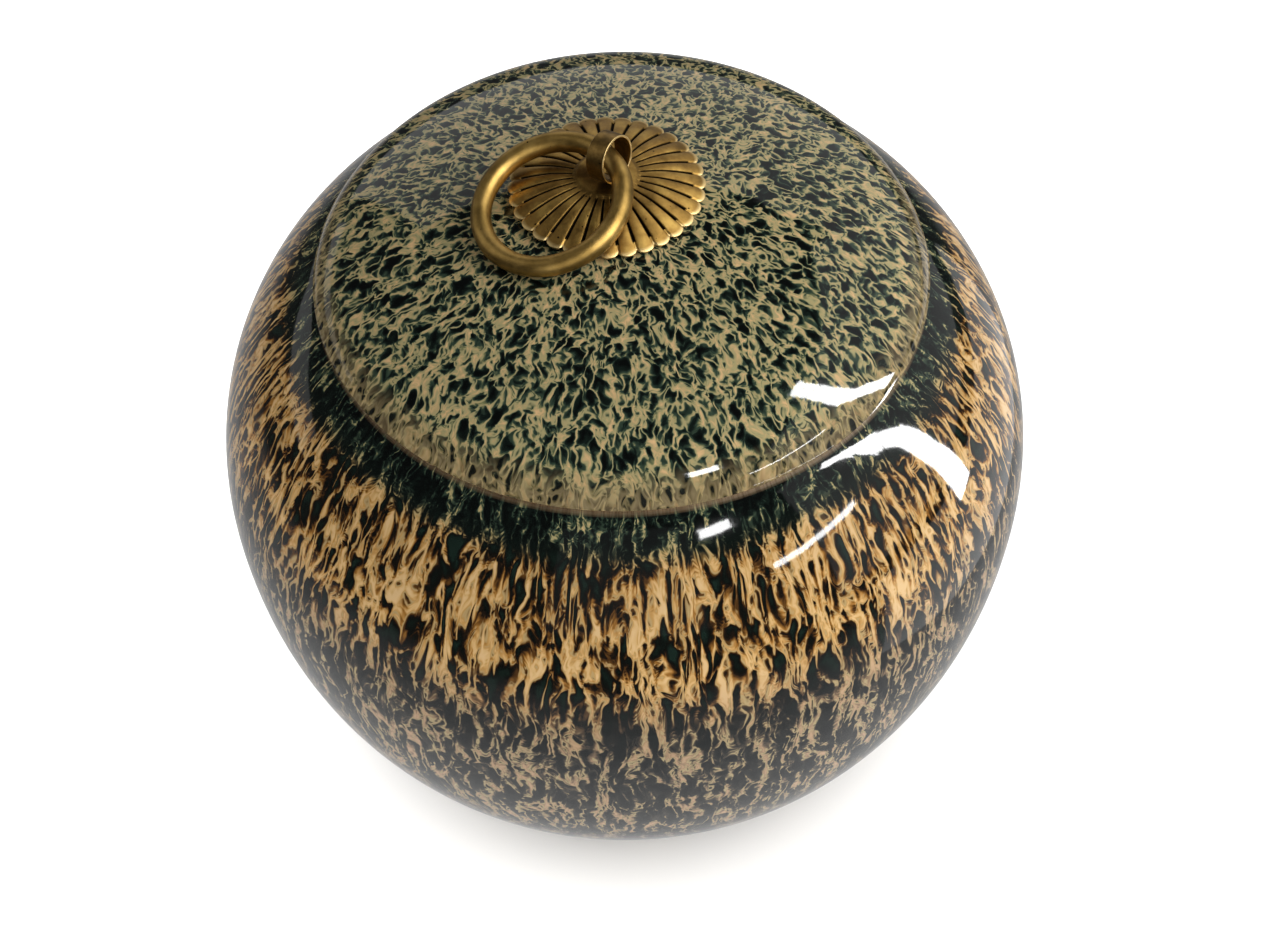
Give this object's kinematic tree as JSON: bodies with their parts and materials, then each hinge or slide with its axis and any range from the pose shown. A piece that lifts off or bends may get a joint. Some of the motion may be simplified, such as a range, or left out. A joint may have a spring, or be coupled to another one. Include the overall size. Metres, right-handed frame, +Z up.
{
  "type": "funeral urn",
  "caption": "Round glazed stoneware funeral urn with a loose domed lid and a brass ring handle on a flower-shaped plate.",
  "frame": {"origin": "on the ground, under the middle of the foot", "axes": "+Z up along the axis on which the body and the lid are thrown; the ring turns about an axis along X and lies towards -Y"},
  "size_m": [0.208, 0.208, 0.1937],
  "materials": {
    "body_glaze": "high gloss mottled stoneware glaze, tan with near black and brown",
    "lid_glaze": "high gloss mottled stoneware glaze, near black with tan veins",
    "stamped_brass": "stamped sheet, satin antique finish, dark in the grooves",
    "strip_brass": "folded strip, satin antique finish",
    "ring_brass": "cast ring, satin antique finish with small pits"
  },
  "bodies": {
    "urn": {"urn_body": "body_glaze", "lid": "lid_glaze", "handle_rosette": "stamped_brass", "handle_eye": "strip_brass"},
    "ring": {"handle_ring": "ring_brass"}
  },
  "joints": [
    {"name": "ring_swing", "type": "hinge", "parent": "urn", "child": "ring", "pos_m": [-0.0022, -0.0012, 0.18671], "axis": [-1, 0, 0], "range_deg": [0, 213]}
  ]
}
